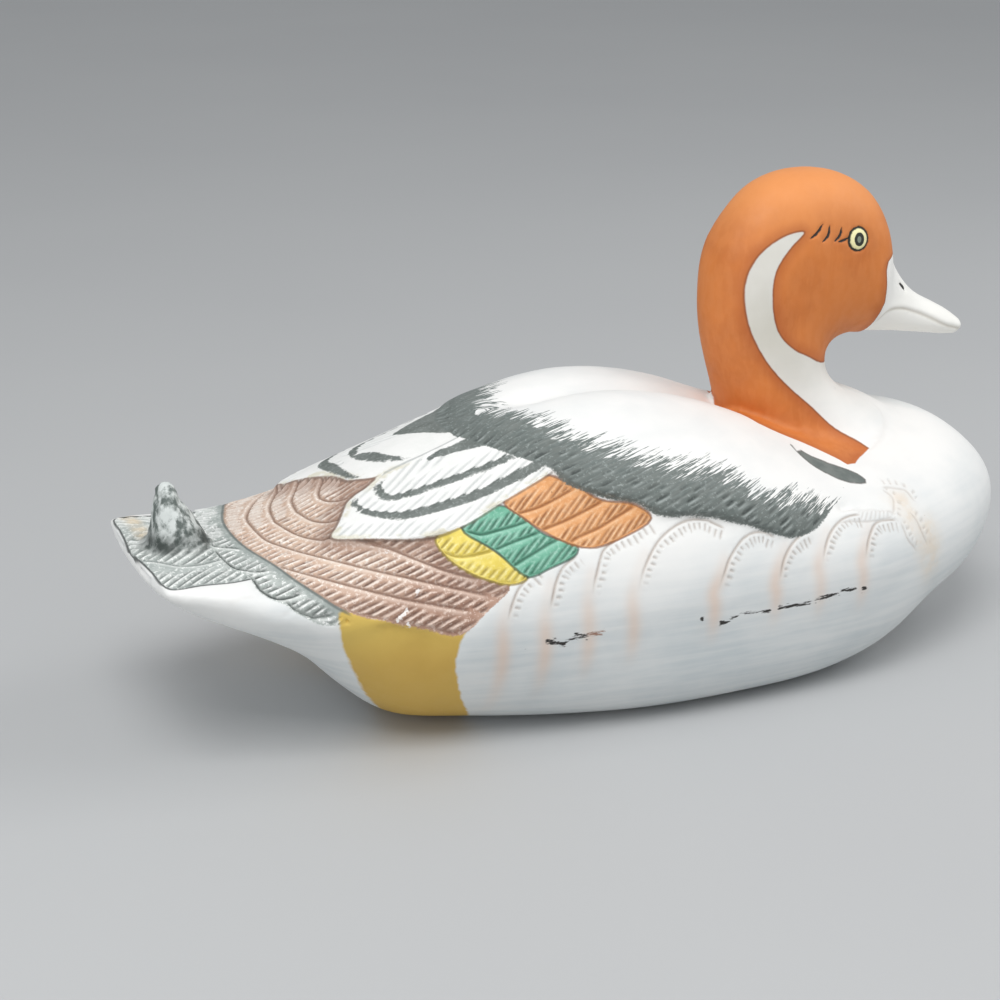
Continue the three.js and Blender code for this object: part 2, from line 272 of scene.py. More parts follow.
# Head, on x and z, but for the foot of the orange neck: the white crescent, the bill and the eye's marks.
# The eye is on the skin that is at least EYE_SIDE from the middle plane.
NECK_FOOT = [
    (30, 64), (40, 61.5), (44, 58.5), (45.5, 55), (48.2, 49), (52.2, 41.4), (63.6, 33.6), (73.1, 25.3),
    (76.8, 21.2), (83.2, 24.5), (89.8, 28.1), (98, 34)
]
CRESCENT = [
    (68.7, 142.6), (63.9, 142.1), (58.9, 139.8), (54, 135.9), (50.7, 130.8), (49.4, 125), (49.8, 118.5),
    (51.3, 111.8), (54.4, 105), (58.5, 98.7), (64.4, 92.1), (72.3, 84.9), (80.7, 76.6), (89.8, 70.5),
    (95, 62), (110, 40), (160, 40), (160, 92), (100, 95.5), (81.8, 96.2), (72.6, 100.6), (65.5, 104.6),
    (60.8, 109.5), (58.7, 114.7), (57.7, 121.8), (58.2, 128.8), (60.3, 133.4), (64.3, 138.4)
]
BILL_EDGE = [
    (100, 101), (104.8, 101.2), (107.7, 101.8), (110.9, 102.5), (115.2, 103.5), (121, 102.7), (126.6, 101.9),
    (129.5, 102.5), (131.5, 106), (134, 114), (138, 135)
]
EYE = (89, 138.7)
EYE_SIZE = (3.9, 3.8)
EYE_SIDE = 7
LASHES = [
    [(70.7, 140.3), (73.4, 142), (75.8, 144.8)], [(75.2, 139), (77.4, 141), (78.2, 144.2)],
    [(79.6, 138.8), (81.8, 140.6), (82.6, 143)], [(81, 138.6), (83, 138.8), (85, 139.4)]
]
NOSTRIL = [(113.6, 119.2), (115, 118), (116.8, 115.9)]
MOUTH = [
    (102, 106), (107.3, 110.1), (113.7, 110.4), (120.8, 108.2), (127.6, 105.2), (134.4, 101.8), (142, 99.2)
]

# A set of feathers: their outline and quills, which way their barbs lean in degrees, the barbs' spacing and
# the reach of the longest, how much closer they crowd towards the tail, and the depth of barbs and quills
Feathers = namedtuple("Feathers", "outline quills lean pitch reach crowding barb quill")
PLUMAGE = {
    "fan": Feathers(FAN, [FAN_EDGE, FAN_QUILL], 33, 2.2, 14, 0, 0.9, 0.7),
    "coverts": Feathers(COVERTS, COVERT_TIPS, 20, 2.0, 7.5, 0, 1.2, 1),
    "rump": Feathers(RUMP, RUMP_QUILLS, 17, 2.15, 10, 0.002, 1.1, 0.7),
    "yellow_bars": Feathers(YELLOW_BARS, YELLOW_QUILLS, 38, 2.2, 6.5, 0, 0.8, 0.8),
    "green_bars": Feathers(GREEN_BARS, GREEN_QUILLS, 42, 1.8, 6.5, 0, 0.85, 0.9),
    "orange_bars": Feathers(ORANGE_BARS, ORANGE_QUILLS, 42, 1.75, 7, 0, 0.85, 0.9),
    "tertials": Feathers(TERTIALS, [TERTIAL_EDGE, STRIPES[0].line, STRIPES[1].line], 34, 2.3, 8, 0, 0.6, 0),
    "band": Feathers(BAND, [BAND_FOOT], 0, 0, 12, 0, 1, 0),
}

# Cuts in the band, which follow its brush strokes: the spacing of their lanes, the room each has along its
# lane, its width as a share of a barb's, and the seed. The fine ones are a share of the depth.
Strokes = namedtuple("Strokes", "pitch room width seed")
BOLD_STROKES = Strokes(2.6, 9, 1.1, 3)
FINE_STROKES = Strokes(1.9, 8, 0.7, 11)
FINE_DEPTH = 0.3

# A curved edge with short strokes along its front: how deep the edge is, the spacing of the strokes, their
# length, how much shorter they are at the edge's end, and how dark they are
Scallop = namedtuple("Scallop", "groove pitch stroke shrink ink")
FLANK_SCALLOP = Scallop(1, 2.05, 3.9, 1.6, 0.75)
CHEST_SCALLOP = Scallop(0.5, 2.3, 2.6, 0, 0.45)
SHOULDER_PITCH = 1.95

# Sets of feathers that lie one on the other, each also under the tertials
LAYERS = ("rump", "yellow_bars", "green_bars", "orange_bars", "band")

# How far across the middle plane each wing is followed, as y, and how high the near one lies on the far one
NEAR_WING_END = 8
FAR_WING_END = -14
WING_STEP = 0.9

# How far away a line is felt, how far most outlines are and how far the widest are, a depth that is well
# outside an outline, and how far from the middle plane the two sides of the bill begin
REACH = 9.0
DEEP = 12.0
WIDE = 30.0
OUTSIDE = -9.0
BILL_MIDDLE = 3

# How paint lies on feathers: its colours on the ridges and in the cuts, how strongly both show,
# and how much dry speckle there is. The dark in the cuts is partly a wash and partly painted shade, and the
# pale on the ridges and lips is partly wear and partly a painted highlight
WashAndShading = namedtuple("WashAndShading", "ridge cut ridges cuts dry")
WASHES_AND_SHADING = {
    "fan": WashAndShading("#F8FAF6", "#515956", 1, 0.9, 0.8),
    "coverts": WashAndShading("#FBFCF9", "#414845", 1, 1, 0.8),
    "pale_rump": WashAndShading("#FDF4EA", "#68493A", 1, 1, 0.65),
    "shaded_deep_rump": WashAndShading("#F1DBCC", "#54382B", 1, 1, 0.6),
    "yellow_bars": WashAndShading("#FCF3B4", "#8E7A2C", 0.6, 0.9, 0.3),
    "green_bars": WashAndShading("#B7E0CF", "#1C4A39", 0.6, 0.9, 0.3),
    "orange_bars": WashAndShading("#F9D6AE", "#85512A", 0.6, 0.9, 0.3),
    "tertials": WashAndShading("#F7F7F5", "#A6ACAB", 0.4, 0.6, 0.2),
}
THICK_BARS = {"yellow_bars": "#D9BF45", "green_bars": "#4E9A7C", "orange_bars": "#D08A4C"}

# The vertices' places, the same on the shared, near and far charts and on x and z, and how far each is above
# the widest line, all in millimetres
Survey = namedtuple("Survey", "x y z chart near far profile over")


def linear(code):
    """A colour written as sRGB hex, as the linear red, green, blue and alpha that Blender works in."""
    levels = [int(code[i:i + 2], 16) / 255 for i in (1, 3, 5)]
    return (*(v / 12.92 if v <= 0.04045 else ((v + 0.055) / 1.055) ** 2.4 for v in levels), 1.0)


def colour(name, description, code):
    """A colour that a user can change."""
    return bpy.props.FloatVectorProperty(
        name=name, description=description, default=linear(code), size=4, subtype="COLOR", min=0, max=1
    )


def number(name, description, default, **settings):
    """A number that a user can change."""
    return bpy.props.FloatProperty(name=name, description=description, default=default, **settings)


def length(name, description, size):
    """A length that a user can change, given in millimetres."""
    return number(name, description, size * MM, min=0, unit="LENGTH", subtype="DISTANCE")


class DecoyCarving(bpy.types.PropertyGroup):
    """Sizes of the casting's relief."""

    grain: length("Grain", "Size of the faces that the casting is rebuilt from before it is carved", 1.2)
    barb_depth: length("Barb depth", "Depth of the cuts across each feather", 0.6)
    barb_width: length("Barb width", "Half the width of a cut across a feather", 0.48)
    quill_depth: length("Quill depth", "Depth of the line between two feathers", 0.8)
    scallop_depth: length("Scallop depth", "Depth of the lines round the flank feathers", 0.45)
    eye_depth: length("Eye depth", "Depth of the ring round the eye", 0.4)
    back_depth: length("Back depth", "How far the valley between the folded wings is sunk", 3.5)
    curl_lumps: length("Curl lumps", "Height of the lumps on the curled tail feather", 0.5)


class DecoyPaints(bpy.types.PropertyGroup):
    """Colours of the bare porcelain and of the paints brushed on it."""

    porcelain: colour("Porcelain", "Bare unglazed porcelain", "#F3F2EF")
    # Cool grey tint in clouds and streaks, and painted shade that greys the porcelain low on the flank
    porcelain_cool: colour("Cool porcelain", "Where the porcelain turns cooler and greyer", "#CAD1D3")
    bill: colour("Bill", "Cream wash on the bill", "#FAF8F1")
    head: colour("Head", "Orange of the head and neck", "#D67D39")
    head_dark: colour("Dark head", "Orange where the brush left it thick", "#BF6A2E")
    slate: colour("Slate", "Slate of the band, stripes and leaves", "#757B77")
    slate_dark: colour("Dark slate", "Slate where the brush left it thick", "#5F6662")
    rump: colour("Rump", "Brown wash over the rump's ridges", "#D8BCA6")
    rump_dark: colour("Dark rump", "Brown where the wash is thick", "#9F7560")
    orange_bars: colour("Orange bars", "Orange of the wing patch", "#EDAE75")
    green_bars: colour("Green bars", "Green of the wing patch", "#7DBEA3")
    yellow_bars: colour("Yellow bars", "Yellow of the wing patch", "#F5E070")
    vent: colour("Vent", "Yellow under the rump", "#D2AE57")
    tail: colour("Tail", "Grey of the tail feathers", "#BAC0BC")
    tail_dark: colour("Dark tail", "Grey-green in the cuts of the tail feathers", "#565E5B")
    smear: colour("Smear", "Warm smear beside each flank feather", "#E4C6B0")
    ink: colour("Ink", "Fine dark brush lines", "#2B2825")
    iris: colour("Iris", "Pale yellow of the eye", "#F1EBB4")


class DecoyStage(bpy.types.PropertyGroup):
    """Camera and lights."""

    azimuth: number("Azimuth", "Camera's turn round the duck", math.radians(-25), subtype="ANGLE")
    elevation: number("Elevation", "Camera's angle above the horizon", math.radians(21), subtype="ANGLE")
    lens: number("Lens", "Focal length in millimetres", 70, min=1)
    distance: length("Distance", "From the camera to what it looks at", 629.0076)
    target: bpy.props.FloatVectorProperty(
        name="Target", description="What the camera looks at", subtype="TRANSLATION", unit="LENGTH",
        default=(-31.49225 * MM, 0, 60.93798 * MM),
    )
    key_power: number("Key power", "Watts of the light at upper left", 7.4)
    side_power: number("Side power", "Watts of the light at the right", 3.6)
    tail_power: number("Tail power", "Watts of the light at the left", 1.6)
    sky: number("Sky", "Strength of the even light all round", 0.55)


# Curves and distances on the chart


def step(value, low, high):
    """0 below low, 1 above high, and a smooth rise between them."""
    t = np.clip((value - low) / (high - low), 0, 1)
    return t * t * (3 - 2 * t)


def plateau(value, start, rise, fall, end):
    """1 from rise to fall, and smoothly down to 0 at start and end."""
    return step(value, start, rise) * (1 - step(value, fall, end))


def bump(value, middle, half):
    """1 at the middle, falling off on both sides."""
    return np.exp(-(((value - middle) / half) ** 2))


def chance(count, seed):
    """A fixed number from 0 to 1 for each whole number."""
    return np.modf(np.abs(np.sin(count * 12.9898 + seed * 78.233) * 43758.5453))[0]


def through(points, closed=False, steps=5):
    """A smooth centripetal curve through points, as short straight runs."""
    p = np.array(points, float)
    if closed:
        p = np.vstack([p[-1:], p, p[:2]])
    else:
        p = np.vstack([2 * p[:1] - p[1:2], p, 2 * p[-1:] - p[-2:-1]])
    runs = []
    for a, b, c, d in zip(p, p[1:], p[2:], p[3:]):
        knots = np.cumsum([0, *(math.sqrt(math.dist(s, e)) for s, e in ((a, b), (b, c), (c, d)))])
        t = np.linspace(knots[1], knots[2], steps, endpoint=False)[:, None]

        def between(start, end, i, j):
            return (start * (knots[j] - t) + end * (t - knots[i])) / (knots[j] - knots[i])

        ab, bc, cd = between(a, b, 0, 1), between(b, c, 1, 2), between(c, d, 2, 3)
        runs.append(between(between(ab, bc, 0, 2), between(bc, cd, 1, 3), 1, 2))
    return np.vstack([*runs, p[-2:-1]])


def line_length(line):
    return np.hypot(*np.diff(line, axis=0).T).sum()


def to_line(at, line, reach=REACH):
    """How far each place is from a line, positive on the line's left, and how far along it that is."""
    away, run = np.full(len(at), float(reach)), np.zeros(len(at))
    near = np.flatnonzero(np.all((at > line.min(0) - reach) & (at < line.max(0) + reach), axis=1))
    p = at[near]
    best, side, along = np.full(len(p), np.inf), np.ones(len(p)), np.zeros(len(p))
    passed = 0.0
    for a, b in zip(line, line[1:]):
        d = b - a
        size = math.hypot(*d)
        share = np.clip((p - a) @ d / size**2, 0, 1)
        gap = p - a - share[:, None] * d
        square = (gap**2).sum(1)
        closer = square < best
        best[closer] = square[closer]
        side[closer] = np.where(d[0] * gap[closer, 1] < d[1] * gap[closer, 0], -1, 1)
        along[closer] = passed + share[closer] * size
        passed += size
    away[near] = np.minimum(np.sqrt(best), reach) * side
    run[near] = along
    return away, run


def inside(at, outline, reach=DEEP):
    """How far each place is inside a closed outline, negative outside it."""
    line = through(outline, closed=True)
    depth = -np.abs(to_line(at, line, reach)[0])
    boxed = np.flatnonzero(np.all((at > line.min(0)) & (at < line.max(0)), axis=1))
    x, y = at[boxed].T
    crossings = np.zeros(len(boxed), bool)
    for a, b in zip(line, line[1:]):
        if a[1] == b[1]:
            continue
        level = (a[1] > y) != (b[1] > y)
        crossings ^= level & (x < (b[0] - a[0]) * (y - a[1]) / (b[1] - a[1]) + a[0])
    depth[boxed[crossings]] *= -1
    return depth


def nearness(at, lines, reach=REACH):
    """Less than zero by the distance to the nearest of some short lines."""
    best = np.full(len(at), -reach)
    for line in lines:
        best = np.maximum(best, -np.abs(to_line(at, through(line), reach)[0]))
    return best


def read(items, name, width, kind=np.float32):
    """One property of all the vertices, edges or faces of a mesh, with that many numbers for each."""
    values = np.empty(len(items) * width, kind)
    items.foreach_get(name, values)
    return values.reshape(-1, width)


def survey(mesh):
    """Where each vertex is, in millimetres and on each chart, and how far it is above the widest line."""
    x, y, z = read(mesh.vertices, "co", 3).T.astype(float) / MM
    over = z - np.interp(x, *zip(*WIDEST_LINE)) + np.abs(y)
    charts = (np.stack([x, (z + rise) / ROOT_2], 1) for rise in (-np.abs(y), y, -y))
    return Survey(x, y, z, *charts, np.stack([x, z], 1), over)


# Relief


def feather_rows(at, quills, reach):
    """For each place, the height above the quill below it, the room between that quill and the next, the
    row's number, and the strength of the quill's groove and of the ridge beside it."""
    height = np.full(len(at), float(reach))
    above = height.copy()
    row, groove, ridge = np.zeros((3, len(at)))
    for number, quill in enumerate(quills):
        line = through(quill)
        away, run = to_line(at, line, reach)
        over = (away >= 0) & (away < height)
        height[over] = away[over]
        row[over] = number
        above = np.where(away < 0, np.minimum(above, -away), above)
        ends = plateau(run, 0.5, 3, line_length(line) - 3, line_length(line) - 0.5)
        groove = np.maximum(groove, bump(away, 0.2, 0.5) * ends)
        ridge = np.maximum(ridge, bump(away, -0.8, 0.6) * ends)
    return height, np.minimum(height + above, reach), row, groove, ridge


def barbs(at, feathers, height, room, row, half):
    """Strength of the cuts across a row of feathers, and of the raised lip beside each."""
    lean = math.radians(feathers.lean)
    across = at[:, 1] * math.cos(lean) - at[:, 0] * math.sin(lean)
    across += 0.3 * np.sin(at[:, 0] * 0.19 + row * 2.1) + 0.012 * height**2
    count = across / feathers.pitch + feathers.crowding * np.maximum(across - 50, 0) ** 2 + row * 0.37
    number = np.floor(count)
    off = (count - number - 0.5) * feathers.pitch + 0.45 * (chance(number, row) - 0.5)
    tip = room * (0.68 + 0.27 * chance(number, row + 5))
    taper = plateau(height, 0.4, 1.2, 0.65 * tip, tip)
    strength = taper * (0.7 + 0.3 * chance(number, row + 9))
    cut = bump(off, 0, half * (0.55 + 0.45 * taper))
    return cut * strength, bump(off, -1.7 * half, 1.3 * half) * strength


def band_strokes(flow, along, height, strokes, half):
    """Strength of scattered cuts that follow the brush strokes of the band, and of the lip beside each."""
    half = half * strokes.width
    lane = np.floor(flow / strokes.pitch)
    count = along / strokes.room + chance(lane, strokes.seed)
    cell = np.floor(count)
    mark = lane * 7 + cell * 3
    off = flow - (lane + 0.5 + 0.5 * (chance(mark, strokes.seed + 1) - 0.5)) * strokes.pitch
    tip = 0.6 + 0.35 * chance(mark, strokes.seed + 2)
    taper = plateau(count - cell, 0.02, 0.2, 0.5 * tip, tip)
    strength = taper * (0.45 + 0.55 * chance(mark, strokes.seed + 3)) * step(height, 0.2, 1.2)
    return bump(off, 0, half * (0.5 + 0.5 * taper)) * strength, bump(off, -1.8 * half, half) * strength


def brush_flow(chart):
    """A number that stays the same along each brush stroke of the band, in millimetres across them."""
    x, rise = np.array(STROKE_RISE, float).T
    fine = np.linspace(x[0], x[-1], 200)
    slope = np.interp(fine, x, rise)
    climbed = np.concatenate([[0], np.cumsum((slope[1:] + slope[:-1]) / 2 * np.diff(fine))])
    return chart[:, 1] - np.interp(chart[:, 0], fine, climbed)


def plumage_edges(where):
    """How far each place is inside each set of feathers, and inside the near and the far wing alone."""
    edges = {name: inside(where.chart, feathers.outline) for name, feathers in PLUMAGE.items()}
    near_wing = np.where(where.y < NEAR_WING_END, inside(where.near, TERTIALS), -DEEP)
    far_wing = np.where(where.y > FAR_WING_END, inside(where.far, FAR_TERTIALS), -DEEP)
    edges["tertials"] = np.maximum(near_wing, far_wing)
    for name in edges:
        edges[name] = np.minimum(edges[name], where.over)
    for name in ("fan", "coverts"):
        edges[name] = np.minimum(edges[name], where.z - np.interp(where.x, *zip(*TAIL_RIM)) + 0.4)
    return edges, near_wing, far_wing


def carve_plumage(where, sizes, edges, near_wing, flow, foot):
    """The relief of all the sets of feathers, how deep in a cut each place is, for a dark wash and painted
    shade, and how high on a lip, for wear and a painted highlight.
    """
    half = sizes.barb_width / MM
    lift, wash, lip = np.zeros((3, len(where.x)))
    covered = {"fan": edges["coverts"], "coverts": edges["rump"] + 1.6, "tertials": edges["band"]}
    for under, over in zip(LAYERS, LAYERS[1:]):
        covered[under] = np.maximum(edges["tertials"], edges[over])
    on_far_wing = (near_wing < 0) & (where.y > FAR_WING_END)
    for name, feathers in PLUMAGE.items():
        seen = step(edges[name], 0.1, 0.7)
        if name in covered:
            seen *= 1 - step(covered[name], -0.5, 0.1)
        some = np.flatnonzero(seen > 0)
        at = where.chart[some]
        if name == "tertials":
            at = np.where(on_far_wing[some, None], where.far[some], where.near[some])
        height, room, row, groove, ridge = feather_rows(at, feathers.quills, feathers.reach)
        if name == "band":
            low = 1 - step(foot[some], 5, 13)
            bold = band_strokes(flow[some], at[:, 0], foot[some], BOLD_STROKES, half)
            fine = band_strokes(flow[some] + 0.7, at[:, 0], foot[some], FINE_STROKES, half)
            cuts, lips = (np.maximum(b * low, f * FINE_DEPTH) for b, f in zip(bold, fine))
        else:
            cuts, lips = barbs(at, feathers, height, room, row, half)
        cuts *= 1 - ridge
        cut_depth = sizes.barb_depth / MM * feathers.barb
        quill_depth = sizes.quill_depth / MM * feathers.quill
        depth = np.maximum(cuts * cut_depth, groove * quill_depth)
        lift[some] += seen[some] * (0.45 * cut_depth * lips + 0.25 * quill_depth * ridge - depth)
        wash[some] = np.maximum(wash[some], seen[some] * np.maximum(cuts, groove * min(feathers.quill, 1)))
        lip[some] = np.maximum(lip[some], seen[some] * np.maximum(lips, 0.5 * ridge))
    return lift, wash, lip


def carved(where, sizes):
    """The relief, and all that the paint needs to know of each place, as named arrays."""
    edges, near_wing, far_wing = plumage_edges(where)
    flow = brush_flow(where.chart)
    foot = to_line(where.chart, through(BAND_FOOT), WIDE)[0]
    lift, wash, lip = carve_plumage(where, sizes, edges, near_wing, flow, foot)
    lift += WING_STEP * step(near_wing, -0.4, 0.7) * step(far_wing, 0, 5)
    past_far_wing = where.y < FAR_WING_END
    stripes = np.maximum(
        np.where(near_wing < 0, -DEEP, paint_stripes(where.near, STRIPES, LEAF)),
        np.where((near_wing > 0) | past_far_wing, -DEEP, paint_stripes(where.far, FAR_STRIPES, FAR_LEAF)),
    )
    near_side = np.where(where.y < 0, 0, OUTSIDE)
    notes = {
        **edges,
        **carve_flank(where, sizes, lift),
        **carve_head(where, sizes, lift),
        "near_wing": np.where(edges["tertials"] > 0, near_wing, -DEEP),
        "stripes": np.minimum(stripes, np.minimum(edges["tertials"] + 1, where.over)),
        "vent": np.minimum(inside(where.profile, VENT), np.where(where.z > 0.3, REACH, OUTSIDE)),
        "neck_leaf": inside(where.chart, NECK_LEAF),
        "band_top": -to_line(where.chart, through(BAND_TOP), WIDE)[0],
        "band_foot": foot,
        "flow": flow,
        "scuff": nearness(where.near, BASE_SCUFFS) + near_side,
        "brown_scuff": nearness(where.near, BROWN_SCUFFS) + near_side,
        "chip": nearness(where.near, CHIPS) + near_side,
        "speck": nearness(where.near, SPECKS) + near_side,
        # Cut depth darkens the paint as a wash and as painted shade; lip height pales it as wear and as a
        # painted highlight
        "wash": wash,
        "lip": lip,
    }
    return lift, notes


def paint_stripes(at, stripes, leaf):
    """How far each place is inside a wing's grey stripes and leaf."""
    within = inside(at, leaf)
    for stripe in stripes:
        away, run = to_line(at, through(stripe.line), DEEP)
        within = np.maximum(within, np.interp(run, *zip(*stripe.widths)) - np.abs(away))
    return within


def carve_scallops(where, depth, above, lift):
    """Cuts the flank and chest feathers, each a curved edge with short strokes along its front, and tells
    how dark each place is."""
    lines = np.zeros(len(lift))
    for number, points in enumerate(SCALLOPS + CHEST_MARKS):
        kind = FLANK_SCALLOP if number < len(SCALLOPS) else CHEST_SCALLOP
        line = through(points)
        total = line_length(line)
        away, run = to_line(where.chart, line)
        ends = plateau(run, 0, 2, 0.75 * total, total)
        groove = above * bump(away, 0, 0.4) * ends * kind.groove
        swell = above * np.where(away > 0, bump(away, 1.5, 1.3), 0) * ends
        count = run / kind.pitch + 0.3 * number
        cut = np.floor(count)
        off = (count - cut - 0.5) * kind.pitch + 0.3 * (chance(cut, number) - 0.5) + 0.1 * away
        start = 0.6 + 0.6 * chance(cut, number + 3)
        size = (kind.stroke - kind.shrink * run / total) * (0.75 + 0.35 * chance(cut, number))
        sides = plateau(away, start, start + 0.5, start + size - 1.2, start + size)
        strokes = above * bump(off, 0, 0.4) * sides * plateau(run, 0, 1, 0.8 * total, total)
        lift -= depth * np.maximum(groove, 0.8 * strokes) - 0.35 * depth * swell
        lines = np.maximum(lines, np.maximum(groove, kind.ink * strokes))
    return lines


def flank_smears(where):
    """How strong the warm smear is that runs down behind each flank feather's edge."""
    smear = np.zeros(len(where.x))
    for points in SCALLOPS:
        foot_x = points[-1][0] - 0.8
        low = [(x - 1.5, rise) for x, rise in points[-3:]] + [(foot_x, -17), (foot_x, -31)]
        smear = np.maximum(smear, bump(to_line(where.chart, through(low), DEEP)[0], 0, 2.4))
    drop = -where.chart[:, 1]
    fade = (0.35 + 0.65 * step(drop, 4, 14)) * (1 - step(drop, 17, 27)) * step(where.z, 6, 17)
    return smear * fade * step(where.over, -22, -12)


def carve_flank(where, sizes, lift):
    """Cuts the flank and chest feathers, the ticks at the shoulder, and faint lines on breast and tail."""
    depth = sizes.scallop_depth / MM
    above = step(where.over, -8, 0)
    lines = carve_scallops(where, depth, above, lift)
    away, run = to_line(where.chart, through(SHOULDER_LINE))
    off = (run - 0.7 * away) / SHOULDER_PITCH
    off = (off - np.floor(off) - 0.5) * SHOULDER_PITCH
    ticks = bump(off, 0, 0.42) * plateau(away, 0.1, 0.6, 2.8, 4.4) * step(run, 8, 10)
    marks = above * np.maximum(0.8 * bump(away, 0, 0.4), 0.7 * ticks) * plateau(run, 0, 2, 21, 25)
    faint = np.zeros(len(lift))
    for points in [BREAST_LINE, *UNDERTAIL_LINES]:
        line = through(points)
        total = line_length(line)
        away, run = to_line(where.chart, line)
        faint = np.maximum(faint, bump(away, 0, 0.5) * plateau(run, 0, 3, total - 3, total))
    lift -= 0.8 * depth * marks + 0.3 * depth * faint
    lines = np.maximum(np.maximum(lines, 0.6 * marks), 0.15 * faint)
    stain = above * bump(nearness(where.chart, CHEST_STAINS, DEEP), 0, 4.5)
    return {"lines": lines, "smear": flank_smears(where), "stain": stain}


def past_cheek(where):
    """How far each place is in front of the edge between the orange cheek and the bill."""
    forward = 4.5 * step(where.z, 118, 132) * (1 - np.minimum(np.abs(where.y) / 17, 1) ** 2)
    return np.minimum(where.x - np.interp(where.z, *zip(*BILL_EDGE)) - forward, where.z - 90)


def carve_head(where, sizes, lift):
    """Cuts the eye, lashes, nostrils and mouth, and lets the cheek stand a little proud of the bill."""
    profile = where.profile
    out = np.abs(where.y)
    eye = np.hypot((profile[:, 0] - EYE[0]) / EYE_SIZE[0], (profile[:, 1] - EYE[1]) / EYE_SIZE[1])
    eye = np.where(out > EYE_SIDE, eye, REACH)
    lift += sizes.eye_depth / MM * (0.9 * step(-eye, -0.95, -0.55) - bump(eye, 1.02, 0.14))
    ink = np.full(len(profile), OUTSIDE)
    for points in [*LASHES, NOSTRIL]:
        line = through(points)
        away, run = to_line(profile, line)
        width = 0.5 * np.sqrt(np.clip(1 - (2 * run / line_length(line) - 1) ** 2, 0.04, 1))
        ink = np.maximum(ink, np.where(out > BILL_MIDDLE, width - np.abs(away), OUTSIDE))
    lift -= 0.45 * step(ink, -0.4, 0.3)
    away, run = to_line(profile, through(MOUTH))
    along = step(run, 0, 5) * (out > BILL_MIDDLE)
    mouth = bump(away, 0, 0.55) * along
    lift += 0.25 * bump(away, 1.4, 1) * along - 0.3 * mouth
    bill = past_cheek(where)
    cheek = plateau(bill, -5, -0.4, -0.4, 0.3)
    lift += plateau(where.z, 96, 100, 121, 129) * (0.45 * cheek - 0.25 * bump(bill, 0.4, 0.4))
    neck = np.where(where.z > 150, WIDE, to_line(where.chart, through(NECK_FOOT), WIDE)[0])
    neck = np.where((where.x < 39) | (where.z < 60), -WIDE, neck)
    behind = 0.8 * (where.x - 48.5 - 0.4 * where.y) + 3 * np.maximum(where.z - 84, 0)
    neck = np.where(where.y > 0, np.minimum(neck, behind), neck)
    crescent = inside(profile, CRESCENT, WIDE)
    return {"neck": neck, "crescent": crescent, "bill": bill, "ink": ink, "mouth": mouth}


def lump_curl(where, height):
    """How much the curled tail feather swells and sinks in lumps drawn out upwards."""
    reach = np.hypot(where.x - CURL[0], where.y - CURL[1])
    share = step(where.z, 63, 67) * step(-reach, -17, -11)
    lift = np.zeros(len(reach))
    for i in np.flatnonzero(share > 0):
        place = Vector((where.x[i] * 0.28, where.y[i] * 0.28, where.z[i] * 0.2))
        lift[i] = share[i] * height * (noise.noise(place) + 0.6 * noise.noise(place * 2.3))
    return lift


# The casting


def deselect_all():
    if bpy.context.object and bpy.context.object.mode != "OBJECT":
        bpy.ops.object.mode_set(mode="OBJECT")
    bpy.ops.object.select_all(action="DESELECT")


def make_active(piece):
    deselect_all()
    piece.select_set(True)
    bpy.context.view_layer.objects.active = piece


def apply_modifier(piece, name, kind, **settings):
    """Adds a modifier, sets it and applies it."""
    modifier = piece.modifiers.new(name, kind)
    for key, value in settings.items():
        setattr(modifier, key, value)
    make_active(piece)
    bpy.ops.object.modifier_apply(modifier=modifier.name)


def vertex_normals(mesh):
    return read(mesh.vertex_normals, "vector", 3)


def smooth_skin(piece):
    """A vertex group that is full where the skin is even, and empty at the edge of a layer or a thin rim."""
    mesh = piece.data
    normals = vertex_normals(mesh)
    a, b = read(mesh.edges, "vertices", 2, np.int32).T
    bend = np.zeros(len(mesh.vertices))
    turn = 1 - (normals[a] * normals[b]).sum(1)
    np.maximum.at(bend, a, turn)
    np.maximum.at(bend, b, turn)
    sharp = step(bend, 0.03, 0.09)
    for _ in range(2):
        wider = sharp.copy()
        np.maximum.at(wider, a, sharp[b])
        np.maximum.at(wider, b, sharp[a])
        sharp = wider
    group = piece.vertex_groups.new(name="even_skin")
    levels = np.round(1 - sharp, 1)
    for level in np.unique(levels):
        group.add(np.flatnonzero(levels == level).tolist(), float(level), "REPLACE")
    return group.name


def cast_blank(sizes):
    """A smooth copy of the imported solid, in even faces that the relief can be cut into."""
    blank = bpy.data.objects.new(PIECE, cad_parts[NODE].data.copy())
    bpy.context.scene.collection.objects.link(blank)
    blank.data.materials.clear()
    make_active(blank)
    bpy.ops.object.mode_set(mode="EDIT")
    bpy.ops.mesh.select_all(action="SELECT")
    bpy.ops.mesh.remove_doubles(threshold=0.01 * MM)
    bpy.ops.object.mode_set(mode="OBJECT")
    apply_modifier(blank, "even_faces", "REMESH", mode="VOXEL", voxel_size=sizes.grain)
    apply_modifier(blank, "soften", "SMOOTH", factor=0.5, iterations=2)
    group = smooth_skin(blank)
    apply_modifier(blank, "even_skin", "SMOOTH", factor=0.5, iterations=60, vertex_group=group)
    blank.vertex_groups.clear()
    return blank


